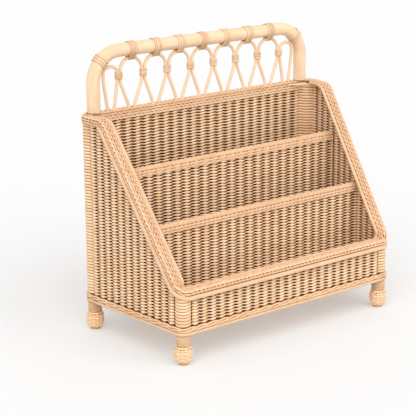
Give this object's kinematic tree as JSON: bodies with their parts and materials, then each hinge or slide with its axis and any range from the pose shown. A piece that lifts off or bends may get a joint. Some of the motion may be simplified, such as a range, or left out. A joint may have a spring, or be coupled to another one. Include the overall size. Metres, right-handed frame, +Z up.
{
  "type": "magazine rack",
  "caption": "Woven cane magazine rack with stepped bays, plaited rims, ball feet and a pole hoop carrying a row of fretwork loops.",
  "frame": {"origin": "on the ground, under the middle of the rack", "axes": "+X to the right seen from the front, -Y to the front, +Z up"},
  "size_m": [0.49, 0.2538, 0.47],
  "materials": {
    "woven_cane": "satin clear lacquer over thin round weaving cane",
    "plaited_cane": "satin clear lacquer over plaited and wound cane",
    "peeled_rattan": "smooth satin clear lacquer over peeled rattan pole",
    "steel_pins": "plain steel"
  },
  "bodies": {
    "root": {"corner_post_front_left": "peeled_rattan", "corner_post_front_right": "peeled_rattan", "corner_post_rear_left": "peeled_rattan", "corner_post_rear_right": "peeled_rattan", "neck_wrap_front_left": "peeled_rattan", "neck_wrap_front_right": "peeled_rattan", "neck_wrap_rear_left": "peeled_rattan", "neck_wrap_rear_right": "peeled_rattan", "ball_foot_front_left": "woven_cane", "ball_foot_front_right": "woven_cane", "ball_foot_rear_left": "woven_cane", "ball_foot_rear_right": "woven_cane", "foot_soles": "peeled_rattan", "base_rails": "peeled_rattan", "floor_bearers": "peeled_rattan", "woven_floor": "woven_cane", "base_cane": "peeled_rattan", "base_wale": "plaited_cane", "front_stakes": "peeled_rattan", "back_stakes": "peeled_rattan", "left_stakes": "peeled_rattan", "right_stakes": "peeled_rattan", "rear_divider_stakes": "peeled_rattan", "front_divider_stakes": "peeled_rattan", "front_weave": "woven_cane", "back_weave": "woven_cane", "left_weave": "woven_cane", "right_weave": "woven_cane", "rear_divider_weave": "woven_cane", "front_divider_weave": "woven_cane", "corner_weave_front_left": "woven_cane", "corner_weave_front_right": "woven_cane", "corner_weave_rear_left": "woven_cane", "corner_weave_rear_right": "woven_cane", "rim_rail": "peeled_rattan", "back_rail": "peeled_rattan", "divider_rails": "peeled_rattan", "rim_left": "plaited_cane", "rim_right": "plaited_cane", "rim_front": "plaited_cane", "back_border": "plaited_cane", "rear_divider_border": "plaited_cane", "front_divider_border": "plaited_cane", "outer_piping": "peeled_rattan", "inner_piping": "peeled_rattan", "handle_hoop": "peeled_rattan", "hoop_pins": "steel_pins", "fret_loop_1": "peeled_rattan", "fret_loop_2": "peeled_rattan", "fret_loop_3": "peeled_rattan", "fret_loop_4": "peeled_rattan", "fret_loop_5": "peeled_rattan", "fret_loop_6": "peeled_rattan", "fret_loop_7": "peeled_rattan", "fret_loop_8": "peeled_rattan", "fret_loop_9": "peeled_rattan", "pole_lashings": "plaited_cane", "loop_couplings": "plaited_cane"}
  },
  "joints": []
}
